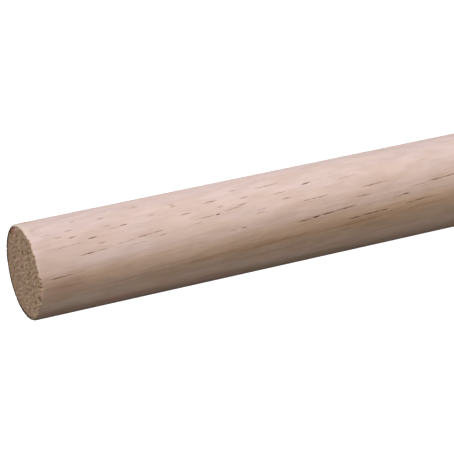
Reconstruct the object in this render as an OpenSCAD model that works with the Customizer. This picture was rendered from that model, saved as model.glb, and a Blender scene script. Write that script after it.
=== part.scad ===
// Round rod: a plain wooden dowel, moulded round from one stick and sawn square at both ends.
// It stands on its foot end at Z = 0 and runs up +Z, with the Z axis as its own axis.

/* [Rod] */
// Diameter of the round shank
rod_d = 28; // [6:1:50]
// Length from sawn end to sawn end
rod_l = 300; // [50:10:2400]

/* [Sawn ends] */
// Radius that sanding leaves on the rim of each sawn end
rim_r = 0.6; // [0.2:0.1:1.5]

/* [Hidden] */
rod_r = rod_d / 2;
wood_colour = [0.85, 0.72, 0.66];
$fn = 96;

// What sanding takes off the sharp rim at the foot: a square corner less its round
module rim_waste() {
    translate([rod_r - rim_r, rim_r])
    difference() {
        translate([0, -2 * rim_r]) square(2 * rim_r);
        circle(r = rim_r);
    }
}

// Half of the rod's long section, from its axis out to the shank
module half_section() {
    difference() {
        square([rod_r, rod_l]);
        rim_waste();
        translate([0, rod_l]) mirror([0, 1]) rim_waste();
    }
}

module rod() {
    color(wood_colour)
    rotate_extrude()
    half_section();
}

rod();
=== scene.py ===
import math

import bmesh
import bpy
from mathutils import Matrix, Vector, noise


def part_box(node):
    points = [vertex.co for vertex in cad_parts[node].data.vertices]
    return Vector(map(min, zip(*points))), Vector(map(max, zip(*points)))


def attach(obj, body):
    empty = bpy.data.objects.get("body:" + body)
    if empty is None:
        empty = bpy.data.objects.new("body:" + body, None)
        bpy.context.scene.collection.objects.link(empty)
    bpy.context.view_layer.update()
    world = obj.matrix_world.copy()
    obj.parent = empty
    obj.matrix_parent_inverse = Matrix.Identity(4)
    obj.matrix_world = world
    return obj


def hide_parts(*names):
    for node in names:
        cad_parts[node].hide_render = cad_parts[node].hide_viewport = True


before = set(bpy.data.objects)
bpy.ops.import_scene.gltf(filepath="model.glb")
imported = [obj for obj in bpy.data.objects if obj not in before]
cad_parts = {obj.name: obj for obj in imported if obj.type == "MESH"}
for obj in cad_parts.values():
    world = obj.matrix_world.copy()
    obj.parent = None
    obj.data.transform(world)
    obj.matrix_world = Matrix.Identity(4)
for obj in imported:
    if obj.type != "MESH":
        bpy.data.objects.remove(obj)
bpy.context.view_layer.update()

# The camera. A long lens close to the sawn top end, turned on its side, so that the standing rod
# runs across the view from left to right and leaves it half way down its length.
MM = 0.001
rod_low, rod_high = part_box("rod")
top_centre = Vector((0, 0, rod_high.z))
eye = top_centre + Vector((298.06, -541.25, 187.07)) * MM
sight = Vector((-0.44624, 0.81195, -0.37632)).normalized()
across = sight.cross(Vector((0.89489, 0.40148, -0.19492))).normalized()
camera_data = bpy.data.cameras.new("camera")
camera_data.sensor_width = 36
camera_data.lens = 180
camera = bpy.data.objects.new("camera", camera_data)
facing = Matrix((across, across.cross(sight), -sight)).transposed()
camera.matrix_world = Matrix.Translation(eye) @ facing.to_4x4()
bpy.context.collection.objects.link(camera)
bpy.context.scene.camera = camera

# The rod. One stick of pale hardwood, run round through a moulding machine and sanded along its
# length, then sawn square at both ends. The saw leaves the end grain torn and the rim nicked.
rod_r = (rod_high.x - rod_low.x) / 2
rod_l = rod_high.z
rim_r = 0.6 * MM
rim_zone = 3 * rim_r
rim_rows = (0, 1.2 * MM, 2 * MM)
girth_steps = 360
rim_steps = 6
top_rings = 54
foot_rings = 26
side_rings = 84
touching = 0.001 * MM
end_sink = 0.01 * MM
sawn_skin = 0.45 * rim_r
front_turn = math.radians(-61.2)
# The torn tufts of an end: weight and scale of each noise, then mean, swing and limit of the tear.
tuft_noises = ((1, 1.15), (0.7, 2.3))
tear_mean = 0.5
tear_swing = 0.6
tear_most = 1.2
tear_depth = 0.10 * MM
tear_fade = 2 * MM
# The saw's kerfs across an end.
kerf_turn = math.radians(28.8)
kerf_squeeze = 0.4
kerf_rate = 4.6
kerf_wander = 2
kerf_depth = 0.01 * MM
# The rim: blunter on one side than on the other, and nicked.
blunt_turn = math.radians(-110)
blunt_part = 0.5
blunt_wander = 0.2
nick_weight = 0.6
nick_scales = (1.1, 2.7)
nick_least = 0.05
nick_depth = 0.5 * MM
nick_slant = 0.7
# The slight bow and dips that sanding left in the shank.
bow_depth = 0.02 * MM
bow_scale = 0.25
bow_stretch = 0.2


def half_outline():
    """Half of the rod's long section as a chain of edges, from the top's centre to the foot's."""
    section = bmesh.new()
    heights = [rod_l - row for row in rim_rows] + list(reversed(rim_rows))
    stations = [(0, rod_l)] + [(rod_r, z) for z in heights] + [(0, 0)]
    corners = [section.verts.new((r, 0, z)) for r, z in stations]
    for pair in zip(corners, corners[1:]):
        section.edges.new(pair)
    bmesh.ops.bevel(
        section, geom=[corners[1], corners[-2]], offset=rim_r, offset_type="OFFSET",
        affect="VERTICES", segments=rim_steps, profile=0.5, material=-1,
    )
    longest = sorted(section.edges, key=lambda edge: edge.calc_length())[-3:]
    top, side, foot = sorted(longest, key=lambda e: -e.verts[0].co.z - e.verts[1].co.z)
    for edge, cuts in ((top, top_rings), (side, side_rings), (foot, foot_rings)):
        bmesh.ops.subdivide_edges(section, edges=[edge], cuts=cuts)
    return section


def sawn(place):
    """A place on an end in millimetres, squeezed along the way the saw blade ran."""
    turned = Matrix.Rotation(-kerf_turn, 3, "Z") @ place / MM
    return Vector((turned.x, turned.y * kerf_squeeze, turned.z))


def roughen(vert):
    """Sinks a vertex below the true cylinder, by what the saw and the sanding took off there."""
    place = vert.co.copy()
    radius = place.xy.length
    end = rod_l if place.z > rod_l / 2 else 0
    inward = -1 if end else 1
    if radius > rod_r - rim_zone and abs(place.z - end) < rim_zone:
        outward = place.xy.normalized()
        rim_place = Vector((*(outward * rod_r), end)) / MM
        blunt = math.atan2(place.y, place.x) - blunt_turn
        uneven = blunt_wander * noise.noise(rim_place * 0.5)
        worn = rim_r * (1 + blunt_part * math.cos(blunt) + uneven)
        over = Vector((radius - rod_r + worn, worn - abs(place.z - end)))
        if min(over) > 0 and over.length > worn:
            over *= worn / over.length
            vert.co.xy = outward * (rod_r - worn + over.x)
            vert.co.z = end + inward * (worn - over.y)
        chips = sum(nick_weight * noise.noise(rim_place * scale) for scale in nick_scales)
        near = max(0, 1 - abs(radius - rod_r + 0.5 * rim_r) / (2 * rim_r))
        near *= max(0, 1 - abs(place.z - end) / (2 * rim_r))
        nick = max(0, chips - nick_least) * near * nick_depth
        vert.co.z += inward * nick
        vert.co.xy -= outward * nick * nick_slant
    if abs(place.z - end) < touching:
        grain = sawn(place)
        tufts = sum(weight * noise.noise(grain * scale) for weight, scale in tuft_noises)
        torn = min(max(tear_mean + tear_swing * tufts, 0), tear_most)
        torn *= min(1, (rod_r - radius) / tear_fade)
        kerf_shift = kerf_wander * noise.noise(place / MM * 0.3)
        kerf = 1 + math.sin(grain.x * kerf_rate + kerf_shift)
        vert.co.z += inward * (end_sink + tear_depth * torn + kerf_depth * kerf)
    elif radius > rod_r - touching:
        drawn_out = Vector((place.x, place.y, place.z * bow_stretch)) / MM
        bow = 0.5 + 0.5 * noise.noise(drawn_out * bow_scale)
        vert.co.xy -= place.xy.normalized() * bow_depth * bow


stick = half_outline()
bmesh.ops.spin(
    stick, geom=stick.verts[:] + stick.edges[:], cent=(0, 0, 0), axis=(0, 0, 1),
    dvec=(0, 0, 0), angle=2 * math.pi, steps=girth_steps, use_merge=True,
    use_normal_flip=False, use_duplicate=False,
)
bmesh.ops.remove_doubles(stick, verts=stick.verts, dist=touching)
bmesh.ops.recalc_face_normals(stick, faces=stick.faces)
for face in stick.faces:
    face.smooth = True
    middle = face.calc_center_median()
    face.material_index = int(min(middle.z, rod_l - middle.z) < sawn_skin)

# Its UV map, in millimetres: the girth in two columns, each half of the length long, and the two
# ends side by side in the room that is left. The seam runs down the back.
sheet = 180.0
gap = 1.0
girth = 2 * math.pi * rod_r / MM
column_top = 165.0
seam_turn = front_turn + math.pi
disc_scale = 1.35
disc_middles = {True: (110.0, 159.0), False: (151.0, 159.0)}
uv = stick.loops.layers.uv.new("OFBake")
for face in stick.faces:
    middle = face.calc_center_median()
    on_top_half = middle.z > rod_l - column_top * MM
    from_seam = (math.atan2(middle.y, middle.x) - seam_turn) % (2 * math.pi)
    for loop in face.loops:
        x, y, z = loop.vert.co / MM
        if face.material_index:
            u0, v0 = disc_middles[on_top_half]
            u, v = u0 + x * disc_scale, v0 + y * disc_scale
        else:
            turn = math.atan2(y, x) - seam_turn
            turn += 2 * math.pi * round((from_seam - turn) / (2 * math.pi))
            u = gap + turn * rod_r / MM
            v = z + gap / 2
            if on_top_half:
                v = z - rod_l / MM + column_top + gap
            else:
                u += girth + 2 * gap
        loop[uv].uv = (u / sheet, v / sheet)
for vert in stick.verts:
    roughen(vert)
rod_mesh = bpy.data.meshes.new("round_rod")
stick.to_mesh(rod_mesh)
stick.free()
rod = bpy.data.objects.new("round_rod", rod_mesh)
bpy.context.collection.objects.link(rod)
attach(rod, "root")
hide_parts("rod")

# The side grain. Bare sanded hardwood, pale pinkish beige: soft growth bands, fine fibre streaks,
# and open vessels that the moulding knives cut lengthwise, which show as short dark dashes.
side_colour = (0.716, 0.567, 0.501, 1)
vessel_tint = (0.30, 0.20, 0.16, 1)
wood_gloss = 0.03
bump_depth = 0.06 * MM
grain_lean = -0.05
oval_edge = 1.8
oval_part = 0.6


def add(tree, kind, sockets=(), **settings):
    """Adds a node, sets its settings, and fills its sockets with values or with links."""
    made = tree.nodes.new(kind)
    for name, value in settings.items():
        setattr(made, name, value)
    for name, value in dict(sockets).items():
        if isinstance(value, bpy.types.NodeSocket):
            tree.links.new(value, made.inputs[name])
        else:
            made.inputs[name].default_value = value
    return made


def sum_of(tree, operation, *values):
    """A Math node's result."""
    return add(tree, "ShaderNodeMath", dict(enumerate(values)), operation=operation).outputs[0]


def spread(tree, value, low, high, to_low=0.0, to_high=1.0):
    """Maps a value from one range to another, clamped and smooth."""
    sockets = dict(enumerate((value, low, high, to_low, to_high)))
    return add(
        tree, "ShaderNodeMapRange", sockets, interpolation_type="SMOOTHSTEP"
    ).outputs["Result"]


def tinted(tree, colour, factor, tint, blend="MULTIPLY"):
    """Lays a tint over a colour."""
    sockets = {0: factor, 6: colour, 7: tint}
    return add(
        tree, "ShaderNodeMix", sockets, data_type="RGBA", blend_type=blend
    ).outputs[2]


def straightened(tree):
    """The place on the rod, untwisted so that the leaning grain runs straight along Z."""
    place = add(tree, "ShaderNodeTexCoord").outputs["Object"]
    height = add(tree, "ShaderNodeSeparateXYZ", {0: place}).outputs["Z"]
    twist = grain_lean / rod_r
    turn = sum_of(tree, "MULTIPLY_ADD", height, -twist, twist * rod_l)
    sockets = {"Vector": place, "Angle": turn}
    return add(tree, "ShaderNodeVectorRotate", sockets, rotation_type="Z_AXIS").outputs[0]


def in_mm(tree, place, stretch=(1, 1, 1), turn=0.0):
    """A place in millimetres, turned about Z and squeezed along an axis to draw a pattern out."""
    turned = add(tree, "ShaderNodeMapping", {"Vector": place, "Rotation": (0, 0, turn)})
    scale = [s / MM for s in stretch]
    return add(tree, "ShaderNodeMapping", {"Vector": turned.outputs[0], "Scale": scale}).outputs[0]


def noise_at(tree, place, scale, detail=2.0, curl=0.0):
    """A noise value from 0 to 1, with its shapes curled round each other on request."""
    sockets = {"Vector": place, "Scale": scale, "Detail": detail, "Distortion": curl}
    return add(tree, "ShaderNodeTexNoise", sockets).outputs[0]


def oval_group():
    """A node group that adds one soft oval mark to the marks before it."""
    tree = bpy.data.node_groups.new("oval mark", "ShaderNodeTree")
    for name, kind in (("Place", "Vector"), ("Centre", "Vector"), ("Size", "Vector"),
                       ("Dark", "Float"), ("Before", "Float")):
        tree.interface.new_socket(name, in_out="INPUT", socket_type="NodeSocket" + kind)
    tree.interface.new_socket("Marks", in_out="OUTPUT", socket_type="NodeSocketFloat")
    given = tree.nodes.new("NodeGroupInput").outputs
    sockets = {"Vector": given["Place"], "Location": given["Centre"], "Scale": given["Size"]}
    local = add(tree, "ShaderNodeMapping", sockets, vector_type="TEXTURE").outputs[0]
    oval = add(tree, "ShaderNodeTexGradient", {0: local}, gradient_type="SPHERICAL").outputs[1]
    core = add(
        tree, "ShaderNodeMath", {0: oval, 1: oval_edge}, operation="MULTIPLY", use_clamp=True
    ).outputs[0]
    total = sum_of(tree, "MULTIPLY_ADD", core, given["Dark"], given["Before"])
    tree.links.new(total, tree.nodes.new("NodeGroupOutput").inputs[0])
    return tree


# Each vessel line: depth of its start, girth there, length, half width, darkness. In millimetres.
vessel_lines = [
    (0.5, -12.4, 2.5, 0.61, 0.25), (3.0, 3.7, 7.5, 0.19, 0.85), (3.8, -9.4, 3.0, 0.19, 0.30),
    (5.0, -4.4, 11.5, 0.34, 0.25), (6.9, -7.9, 2.9, 0.19, 0.50), (10.4, 3.3, 4.0, 0.19, 0.30),
    (11.0, -9.5, 2.3, 0.19, 0.55), (11.3, -7.0, 2.3, 0.23, 1.05), (13.0, -1.3, 5.4, 0.21, 0.80),
    (13.4, -12.8, 2.0, 0.38, 0.35), (16.6, -5.6, 2.9, 0.24, 1.10), (18.3, -1.6, 3.7, 0.19, 0.35),
    (19.0, -3.6, 2.9, 0.19, 0.50), (21.5, -11.6, 2.3, 0.23, 0.55), (22.0, -8.3, 2.8, 0.19, 0.50),
    (23.5, -7.2, 3.5, 0.23, 0.30), (24.6, -2.3, 2.1, 0.21, 0.45), (26.7, -2.5, 3.9, 0.21, 0.30),
    (26.7, -1.1, 7.4, 0.19, 0.30), (27.0, -7.6, 2.4, 0.24, 0.90), (30.6, -3.0, 5.3, 0.23, 0.60),
    (32.4, -13.6, 3.0, 0.38, 0.30), (35.8, -3.4, 3.9, 0.21, 0.45), (36.0, -8.9, 2.5, 0.21, 0.45),
    (37.3, -2.1, 2.8, 0.19, 0.45), (43.5, -11.2, 2.1, 0.21, 0.60), (43.8, -10.4, 1.7, 0.21, 0.65),
    (45.4, -6.8, 4.0, 0.21, 0.60), (48.3, -3.3, 3.1, 0.19, 0.35), (49.0, -4.4, 7.2, 0.21, 0.35),
    (53.5, -9.1, 4.5, 0.30, 0.60), (55.9, -4.6, 1.5, 0.24, 1.05), (57.3, -6.8, 1.8, 0.23, 0.65),
    (58.5, -5.3, 7.1, 0.21, 0.50), (58.5, 0.9, 2.5, 0.21, 0.35), (62.6, 0.7, 1.6, 0.21, 0.65),
    (62.7, -11.8, 2.7, 0.24, 0.50), (63.0, -6.2, 3.8, 0.23, 0.50), (64.8, -8.3, 2.9, 0.23, 0.60),
    (67.9, -2.5, 3.1, 0.19, 0.35), (68.5, -3.4, 3.3, 0.21, 0.50), (70.4, -10.7, 8.1, 0.27, 0.50),
    (75.2, -7.3, 4.1, 0.23, 0.50), (77.3, -5.1, 2.9, 0.21, 0.60), (80.0, 2.6, 5.5, 0.27, 0.65),
    (81.4, -3.1, 12.1, 0.19, 0.55), (84.8, -8.6, 3.7, 0.24, 1.00), (85.3, 2.1, 2.5, 0.27, 1.50),
    (87.7, 1.9, 5.4, 0.23, 0.80), (93.0, 1.6, 6.7, 0.23, 0.90), (96.3, -7.8, 4.3, 0.27, 0.30),
    (96.8, 5.0, 4.3, 0.21, 0.75), (100.2, -1.0, 5.2, 0.20, 0.55), (100.5, -8.1, 2.9, 0.21, 0.30),
    (101.0, 4.7, 7.1, 0.23, 0.80), (102.6, -3.6, 9.6, 0.21, 0.60), (108.0, 4.4, 2.0, 0.24, 0.90),
    (112.0, 1.3, 3.6, 0.21, 0.55), (115.4, 1.0, 2.3, 0.24, 0.85), (116.1, 3.8, 2.8, 0.21, 0.55),
    (117.8, -0.8, 6.8, 0.19, 0.35), (118.8, 3.6, 4.3, 0.23, 0.90), (123.0, 3.5, 5.5, 0.21, 0.35),
    (124.5, -1.3, 5.6, 0.23, 0.60), (130.0, -1.6, 14.0, 0.23, 1.15),
]
# The soft brown line of one growth ring, length by length, and a brown patch at the top's rim.
ring_lines = [
    (2.0, 7.0, 11.0, 1.2, 0.25), (5.0, 9.1, 15.0, 0.5, 0.50), (20.0, 8.7, 15.0, 0.45, 0.60),
    (36.0, 7.9, 22.0, 0.5, 0.60), (48.0, 8.0, 6.0, 0.4, 0.50), (60.0, 7.5, 26.0, 0.7, 0.50),
    (64.0, 7.4, 16.0, 0.3, 0.50), (86.0, 6.9, 24.0, 0.7, 0.50), (91.0, 6.7, 17.0, 0.3, 0.50),
    (110.0, 5.9, 40.0, 0.8, 0.55), (115.0, 5.7, 18.0, 0.3, 0.50), (-3.0, -19.6, 8.0, 2.2, 1.0),
]
ring_tint = (0.84, 0.78, 0.70, 1)
# Wide soft patches: each hue's tint, then its marks.
pale_patches = ((1.07, 1.08, 1.12, 1), [(-18.0, 6.9, 80.0, 6.0, 1.0)])
brown_patches = (
    (0.95, 0.93, 0.90, 1), [(66.0, 3.0, 110.0, 8.0, 1.0), (4.0, -7.0, 14.0, 6.0, 0.35)],
)
lilac_patches = ((0.95, 0.90, 0.96, 1), [(0.5, 6.8, 14.0, 3.2, 0.8)])
green_patches = (
    (0.95, 1.02, 1.02, 1), [
        (3.0, 12.6, 16.0, 3.0, 1.0), (19.0, 12.4, 8.0, 3.0, 0.8), (38.0, 16.5, 8.0, 2.0, 0.8),
        (58.0, 12.5, 7.0, 2.5, 0.8), (63.0, 16.5, 8.0, 2.0, 0.8),
    ],
)
pink_patches = (
    (1.06, 0.95, 1.0, 1), [
        (12.0, 16.0, 26.0, 1.6, 1.0), (-6.0, 16.0, 9.0, 2.0, 0.7), (46.0, 17.0, 16.0, 1.6, 0.8),
    ],
)
# Two straight bands of painted light along the rod: a warm shade where the light turns to shade,
# and a pale, cool band that lifts the shaded lower side. For each: girth, how far from it the band
# is full and where it ends, tint.
shade_edge_warmth_girth, shade_edge_warmth_full, shade_edge_warmth_end, shade_edge_warmth_tint = 4.8, 0.5, 5.0, (0.955, 0.90, 0.80, 1)
lower_side_light_girth, lower_side_light_full, lower_side_light_end, lower_side_light_tint = 12.8, 0.6, 3.2, (1.19, 1.22, 1.29, 1)
# The fine pattern of the grain. For each noise: its squeeze along the rod, scale and detail, then
# the values between which it sets in, and the tint it lays.
grain_noises = {
    "bands": (0.02, 0.2, 1.5, 0.35, 0.65, (0.95, 0.945, 0.94, 1)),
    "streaks": (0.07, 1.1, 3.0, 0.42, 0.66, (0.905, 0.89, 0.88, 1)),
    "fibres": (0.12, 3.0, 2.0, 0.4, 0.7, (0.935, 0.925, 0.92, 1)),
    "mottle": (0.3, 0.4, 2.5, 0.36, 0.64, (0.935, 0.925, 0.92, 1)),
    "hues": (0.3, 0.2, 2.0, 0.38, 0.62, (0.995, 0.985, 0.955, 1)),
    "blush": (0.12, 0.32, 1.0, 0.36, 0.64, (1.0, 0.98, 0.945, 1)),
}
calm_girth = -9
near_top_dimming_tint = (0.94, 0.935, 0.945, 1)


def marks(tree, rows, place):
    """The sum of a list of soft oval marks."""
    total = 0.0
    for depth, girth, length, half_width, dark in rows:
        made = tree.nodes.new("ShaderNodeGroup")
        made.node_tree = bpy.data.node_groups.get("oval mark") or oval_group()
        tree.links.new(place, made.inputs["Place"])
        made.inputs["Centre"].default_value = (depth + length / 2, girth - grain_lean * depth, 0)
        made.inputs["Size"].default_value = (length * oval_part, half_width, 1)
        made.inputs["Dark"].default_value = dark
        if total:
            tree.links.new(total, made.inputs["Before"])
        total = made.outputs["Marks"]
    return total


# The sides of the rim: the way each faces in degrees, and the two cosines from there between which
# it sets in. The side facing 120 degrees, away from the front, carries a painted shade. Then how
# far the brown of the sawn face laps over the rim on a side, in millimetres, and how thick the
# pale fibres stand there.
rim_sides = {
    "torn": (-38, 0.5, 0.95), "fluffy": (9, 0.82, 0.98), "dull": (-87, 0.96, 0.99),
    "worn": (-125, 0.85, 0.98), "painted_far_rim_shade": (120, -0.2, 0.35),
}
face_laps = {"torn": 0.6, "worn": 0.15, "dull": 0.65}
fluff_parts = {"fluffy": 0.6, "worn": 0.45}
ragged_swing = 3.0
torn_colour = (0.23, 0.155, 0.10, 1)
torn_tint = (0.66, 0.60, 0.55, 1)
fluff_colour = (0.70, 0.60, 0.46, 1)
# Painted shade: the dark tint laid in a band along the rim, strongest on its far side.
painted_far_rim_shade_tint = (0.20, 0.15, 0.11, 1)


def frayed_rim(tree, face_colour, wood_colour):
    """Lays the ragged edge of a sawn face over the rim, a band of pale fibres past it, and painted
    shade along the rim's far side.
    """
    place = in_mm(tree, add(tree, "ShaderNodeTexCoord").outputs["Object"])
    x, y, z = add(tree, "ShaderNodeSeparateXYZ", {0: place}).outputs
    flat = add(tree, "ShaderNodeCombineXYZ", {0: x, 1: y}).outputs[0]
    radius = add(tree, "ShaderNodeVectorMath", {0: flat}, operation="LENGTH").outputs["Value"]
    from_end = sum_of(tree, "MINIMUM", z, sum_of(tree, "SUBTRACT", rod_l / MM, z))
    turn = sum_of(tree, "ARCTAN2", y, x)
    side = {}
    for name, (azimuth, low, high) in rim_sides.items():
        facing = sum_of(tree, "COSINE", sum_of(tree, "SUBTRACT", turn, math.radians(azimuth)))
        side[name] = spread(tree, facing, low, high)

    ragged = noise_at(tree, place, 0.95, 2.5)
    ragged = sum_of(tree, "MULTIPLY_ADD", ragged, ragged_swing, -ragged_swing / 2)
    ragged = sum_of(tree, "MULTIPLY", ragged, spread(tree, side["torn"], 0, 1, 0.35, 1))
    reach = rod_r / MM - rim_r / MM - 0.05
    for name, lap in face_laps.items():
        reach = sum_of(tree, "MULTIPLY_ADD", side[name], lap, reach)
    past = sum_of(tree, "SUBTRACT", sum_of(tree, "ADD", radius, from_end), reach)
    past = sum_of(tree, "SUBTRACT", past, ragged)
    torn = sum_of(tree, "MULTIPLY", spread(tree, ragged, 0.0, 0.5), spread(tree, past, -1.3, -0.2))
    face_colour = tinted(tree, face_colour, torn, torn_tint)

    fluffy = 0.0
    for name, part in fluff_parts.items():
        fluffy = sum_of(tree, "MULTIPLY_ADD", side[name], part, fluffy)
    fluffy = sum_of(tree, "MULTIPLY", fluffy, spread(tree, past, 0.8, 3.2, 1, 0))
    broken = noise_at(tree, place, 1.5, 2.0)
    fluffy = sum_of(tree, "MULTIPLY", fluffy, spread(tree, broken, 0.38, 0.58, 0.35, 1))
    wood_colour = tinted(tree, wood_colour, fluffy, fluff_colour, "MIX")
    colour = tinted(tree, face_colour, spread(tree, past, -0.1, 0.15), wood_colour, "MIX")
    # Painted shade: a dark band over the edge of the sawn face, strongest on the far side of the
    # rim and fading round towards the top and the bottom.
    painted_far_rim_shade = sum_of(tree, "MULTIPLY", spread(tree, past, -0.9, -0.4), spread(tree, past, 1.0, 0.1))
    painted_far_rim_shade = sum_of(tree, "MULTIPLY", painted_far_rim_shade, side["painted_far_rim_shade"])
    return tinted(tree, colour, painted_far_rim_shade, painted_far_rim_shade_tint)


side_grain = bpy.data.materials.new("sanded side grain")
side_grain.use_nodes = True
tree = side_grain.node_tree
finish = tree.nodes["Principled BSDF"]
wood = straightened(tree)
parts = add(tree, "ShaderNodeSeparateXYZ", {0: in_mm(tree, wood, turn=-front_turn)}).outputs
depth = sum_of(tree, "MULTIPLY_ADD", parts["Z"], -1.0, rod_l / MM)
grain_turn = sum_of(tree, "ARCTAN2", parts["Y"], parts["X"])
grain_girth = sum_of(tree, "MULTIPLY", grain_turn, -rod_r / MM)
front_girth = sum_of(tree, "MULTIPLY_ADD", depth, grain_lean, grain_girth)
wander = noise_at(tree, in_mm(tree, wood, (1, 1, 0.5)), 1.0, 3.0)
line_girth = sum_of(tree, "ADD", grain_girth, sum_of(tree, "MULTIPLY_ADD", wander, 0.5, -0.25))
flat_place = add(tree, "ShaderNodeCombineXYZ", {"X": depth, "Y": line_girth}).outputs[0]

# The vessels: set lines on the front, scattered dashes elsewhere, and both broken up.
in_front = sum_of(
    tree, "MULTIPLY", spread(tree, depth, 128, 150, 1, 0),
    spread(tree, sum_of(tree, "ABSOLUTE", grain_girth), 15, 22, 1, 0),
)
cell_place = in_mm(tree, wood, (1, 1, 0.05))
cells = add(tree, "ShaderNodeTexVoronoi", {"Vector": cell_place, "Scale": 0.9})
dashes = spread(tree, cells.outputs["Distance"], 0.09, 0.24, 0.7, 0)
thinned = noise_at(tree, in_mm(tree, wood, (1, 1, 0.2)), 0.3)
dashes = sum_of(tree, "MULTIPLY", dashes, spread(tree, thinned, 0.45, 0.6, 0.1, 1))
dashes = sum_of(tree, "MULTIPLY", dashes, spread(tree, in_front, 0, 1, 1, 0.2))
broken = noise_at(tree, in_mm(tree, wood, (1, 1, 0.5)), 1.6, 2.0)
vessels = sum_of(tree, "ADD", marks(tree, vessel_lines, flat_place), dashes)
vessels = sum_of(tree, "MULTIPLY", vessels, spread(tree, broken, 0.35, 0.6, 0.6, 1.2))
vessels = add(tree, "ShaderNodeClamp", {"Value": vessels}).outputs[0]

# The colour: the fine grain, livelier away from its calm girth, a part near the top that is a
# little darker and greyer, and then two bands of painted light and shade, the patches, the ring
# line and the vessels.
lively = sum_of(tree, "ABSOLUTE", sum_of(tree, "SUBTRACT", grain_girth, calm_girth))
lively = spread(tree, lively, 8, 17, 0.35, 1)
grain = {}
colour = side_colour
for name, (squeeze, scale, detail, low, high, tint) in grain_noises.items():
    grain[name] = noise_at(tree, in_mm(tree, wood, (1, 1, squeeze)), scale, detail)
    laid = spread(tree, grain[name], low, high)
    if name in ("streaks", "fibres"):
        laid = sum_of(tree, "MULTIPLY", laid, lively)
    colour = tinted(tree, colour, laid, tint)
near_top_dimming = sum_of(
    tree, "MULTIPLY", spread(tree, depth, -5, 60, 1, 0), spread(tree, grain_girth, -2, 7, 1, 0)
)
colour = tinted(tree, colour, near_top_dimming, near_top_dimming_tint)
from_shade_edge_warmth = sum_of(tree, "ABSOLUTE", sum_of(tree, "SUBTRACT", front_girth, shade_edge_warmth_girth))
from_lower_side_light = sum_of(tree, "ABSOLUTE", sum_of(tree, "SUBTRACT", front_girth, lower_side_light_girth))
# Painted shade: a warm, darker band where the key light turns to shade on the side.
warm = spread(tree, from_shade_edge_warmth, shade_edge_warmth_full, shade_edge_warmth_end, 1, 0)
# Painted light: a pale, cool band that lifts the shaded lower side, at half strength further from
# the top.
cool = spread(tree, from_lower_side_light, lower_side_light_full, lower_side_light_end, 1, 0)
cool = sum_of(tree, "MULTIPLY", cool, spread(tree, depth, 30, 120, 1, 0.5))
colour = tinted(tree, colour, warm, shade_edge_warmth_tint)
colour = tinted(tree, colour, cool, lower_side_light_tint)
for tint, rows in (pale_patches, brown_patches, lilac_patches, green_patches, pink_patches):
    colour = tinted(tree, colour, marks(tree, rows, flat_place), tint)
colour = tinted(tree, colour, marks(tree, ring_lines, flat_place), ring_tint)
colour = tinted(tree, colour, vessels, vessel_tint)
colour = frayed_rim(tree, torn_colour, colour)
tree.links.new(colour, finish.inputs["Base Color"])
sheen_off = sum_of(tree, "MULTIPLY_ADD", grain["streaks"], 0.16, 0.7)
tree.links.new(sum_of(tree, "MULTIPLY_ADD", vessels, 0.2, sheen_off), finish.inputs["Roughness"])
finish.inputs["Specular IOR Level"].default_value = wood_gloss
raised = sum_of(tree, "MULTIPLY", grain["fibres"], 0.25)
height = sum_of(tree, "MULTIPLY_ADD", vessels, -1.0, raised)
bump = add(tree, "ShaderNodeBump", {"Height": height, "Distance": bump_depth, "Strength": 1.0})
tree.links.new(bump.outputs[0], finish.inputs["Normal"])
rod_mesh.materials.append(side_grain)

# The end grain. The same wood cut across by a coarse saw: a duller tan-brown face with torn tufts
# and curls of fibre that catch the light, open vessels as dark pits, and soft stains.
end_colour = (0.447, 0.296, 0.182, 1)
rim_colour = (0.62, 0.49, 0.41, 1)
olive_tint = (0.98, 1.0, 0.92, 1)
rosy_tint = (1.05, 0.97, 1.03, 1)
far_tint = (0.90, 0.89, 0.89, 1)
stain_tint = (1.08, 0.88, 0.94, 1)
tuft_tint = (1.25, 1.30, 1.42, 1)
curl_tint = (1.28, 1.32, 1.45, 1)
pit_tint = (0.52, 0.46, 0.38, 1)
stain_middle = (10.6, 6.8, 0)
end_grain = bpy.data.materials.new("sawn end grain")
end_grain.use_nodes = True
tree = end_grain.node_tree
finish = tree.nodes["Principled BSDF"]
place = add(tree, "ShaderNodeTexCoord").outputs["Object"]
place_mm = in_mm(tree, place)
kerfs = in_mm(tree, place, (1, 0.45, 1), -kerf_turn)
parts = add(tree, "ShaderNodeSeparateXYZ", {0: place_mm}).outputs
flat = add(tree, "ShaderNodeCombineXYZ", {"X": parts["X"], "Y": parts["Y"]}).outputs[0]
turned = in_mm(tree, place, turn=-front_turn)
to_front = add(tree, "ShaderNodeSeparateXYZ", {0: turned}).outputs["X"]

# The face is roughest towards the front: there it has tufts, curled fibres and pits.
clumps = noise_at(tree, place_mm, 0.2, 1.0)
rough_part = sum_of(tree, "MULTIPLY_ADD", clumps, 16.0, sum_of(tree, "ADD", to_front, -8.0))
rough_part = spread(tree, rough_part, -11.0, 0.0, 0.45, 1)
tufts = noise_at(tree, kerfs, 0.75, 2.5, 1.0)
pits = noise_at(tree, kerfs, 0.95, 2.0, 0.8)
curls = noise_at(tree, place_mm, 0.55, 2.0, 0.6)
curls = sum_of(tree, "ABSOLUTE", sum_of(tree, "SUBTRACT", curls, 0.5))
pale_tufts = sum_of(tree, "MULTIPLY", spread(tree, tufts, 0.50, 0.68), rough_part)
dark_pits = sum_of(tree, "MULTIPLY", spread(tree, pits, 0.50, 0.68), rough_part)
curls = sum_of(tree, "MULTIPLY", spread(tree, curls, 0.01, 0.04, 1, 0), rough_part)
olive = spread(tree, noise_at(tree, place_mm, 0.3, 2.0), 0.36, 0.62)
rosy = noise_at(tree, in_mm(tree, place, turn=1.0), 0.36, 2.0)
rosy = spread(tree, rosy, 0.45, 0.65)
from_stain = {0: flat, 1: stain_middle}
stained = add(tree, "ShaderNodeVectorMath", from_stain, operation="DISTANCE").outputs["Value"]
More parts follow.
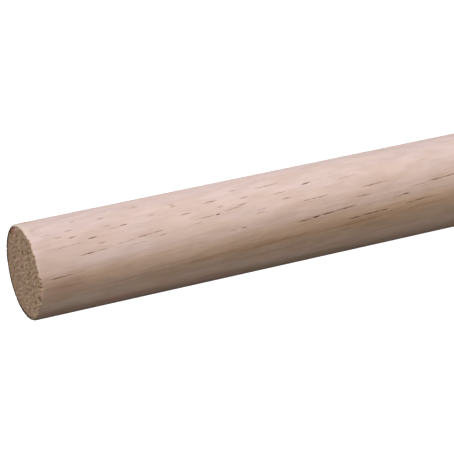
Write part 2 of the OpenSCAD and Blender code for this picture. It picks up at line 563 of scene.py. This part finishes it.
stained = spread(tree, stained, 0.5, 4.0, 1, 0)
colour = end_colour
for laid, tint in (
    (olive, olive_tint), (rosy, rosy_tint), (spread(tree, to_front, 2, -10), far_tint),
    (stained, stain_tint), (pale_tufts, tuft_tint), (curls, curl_tint), (dark_pits, pit_tint),
):
    colour = tinted(tree, colour, laid, tint)
colour = frayed_rim(tree, colour, rim_colour)
tree.links.new(colour, finish.inputs["Base Color"])
finish.inputs["Specular IOR Level"].default_value = wood_gloss
tree.links.new(sum_of(tree, "MULTIPLY_ADD", tufts, 0.15, 0.75), finish.inputs["Roughness"])
bump = add(tree, "ShaderNodeBump", {"Height": tufts, "Distance": bump_depth, "Strength": 0.8})
tree.links.new(bump.outputs[0], finish.inputs["Normal"])
rod_mesh.materials.append(end_grain)

# The studio. A pale floor under the rod's foot, a cool softbox high on the right, a warm card in
# front, two weak lamps behind, one of them low, and a white surround.
lamp_away = 4.0
lamp_height = 0.2
floor_r = 6
white = (1, 1, 1, 1)
surround_dark = (0.004, 0.004, 0.004, 1)
floor_dark = (0.04, 0.03, 0.025, 1)
floor_pale = (0.8, 0.8, 0.8, 1)
glow_near = 0.3
glow_far = 2.5
glow_least = 0.72


def softbox(name, azimuth, elevation, size, level, tint):
    """A square area lamp that lights a card which faces it to the given level."""
    turn, rise = math.radians(azimuth), math.radians(elevation)
    flat = math.cos(rise)
    towards = Vector((math.cos(turn) * flat, math.sin(turn) * flat, math.sin(rise)))
    data = bpy.data.lights.new(name, "AREA")
    data.size = size
    data.energy = level * (math.pi * lamp_away) ** 2
    data.color = tint
    lamp = bpy.data.objects.new(name, data)
    lamp.location = towards * lamp_away + Vector((0, 0, lamp_height))
    lamp.rotation_euler = towards.to_track_quat("Z", "Y").to_euler()
    lamp.visible_camera = False
    bpy.context.collection.objects.link(lamp)


softbox("key softbox", 0, 22, 1.0, 1.11, (0.88, 0.90, 1.0))
softbox("front card", -63, 12, 1.2, 0.415, (1.0, 0.895, 0.765))
softbox("back lamp", 100, 15, 2.0, 0.42, (0.95, 0.95, 0.97))
softbox("rear lamp", 119, 1, 0.5, 0.60, (1.0, 0.97, 0.93))

scene = bpy.context.scene
scene.view_settings.view_transform = "Standard"


def seen_directly(tree):
    """1 for camera, glossy and transmission rays, and 0 for the light that falls on things."""
    rays = add(tree, "ShaderNodeLightPath").outputs
    direct = sum_of(tree, "MAXIMUM", rays["Is Camera Ray"], rays["Is Glossy Ray"])
    return sum_of(tree, "MAXIMUM", direct, rays["Is Transmission Ray"])


world = bpy.data.worlds.new("surround")
world.use_nodes = True
tree = world.node_tree
surround = tinted(tree, surround_dark, seen_directly(tree), white, "MIX")
tree.links.new(surround, tree.nodes["Background"].inputs["Color"])
scene.world = world

floor_shape = bmesh.new()
bmesh.ops.create_circle(floor_shape, cap_ends=True, segments=64, radius=floor_r)
floor_mesh = bpy.data.meshes.new("floor")
floor_shape.to_mesh(floor_mesh)
floor_shape.free()
floor = bpy.data.objects.new("floor", floor_mesh)
bpy.context.collection.objects.link(floor)
floor_paint = bpy.data.materials.new("pale floor")
floor_paint.use_nodes = True
tree = floor_paint.node_tree
tree.nodes.remove(tree.nodes["Principled BSDF"])
seen = seen_directly(tree)
colour = tinted(tree, floor_dark, seen, floor_pale, "MIX")
paint = add(tree, "ShaderNodeBsdfDiffuse", {"Color": colour})
place = add(tree, "ShaderNodeTexCoord").outputs["Object"]
distance = add(tree, "ShaderNodeVectorMath", {0: place}, operation="LENGTH").outputs["Value"]
brighter = spread(tree, distance, glow_near, glow_far, glow_least, 1.0)
brighter = sum_of(tree, "MULTIPLY", seen, brighter)
glow = add(tree, "ShaderNodeEmission", {"Strength": brighter})
both = add(tree, "ShaderNodeAddShader", {0: paint.outputs[0], 1: glow.outputs[0]})
tree.links.new(both.outputs[0], tree.nodes["Material Output"].inputs["Surface"])
floor_mesh.materials.append(floor_paint)
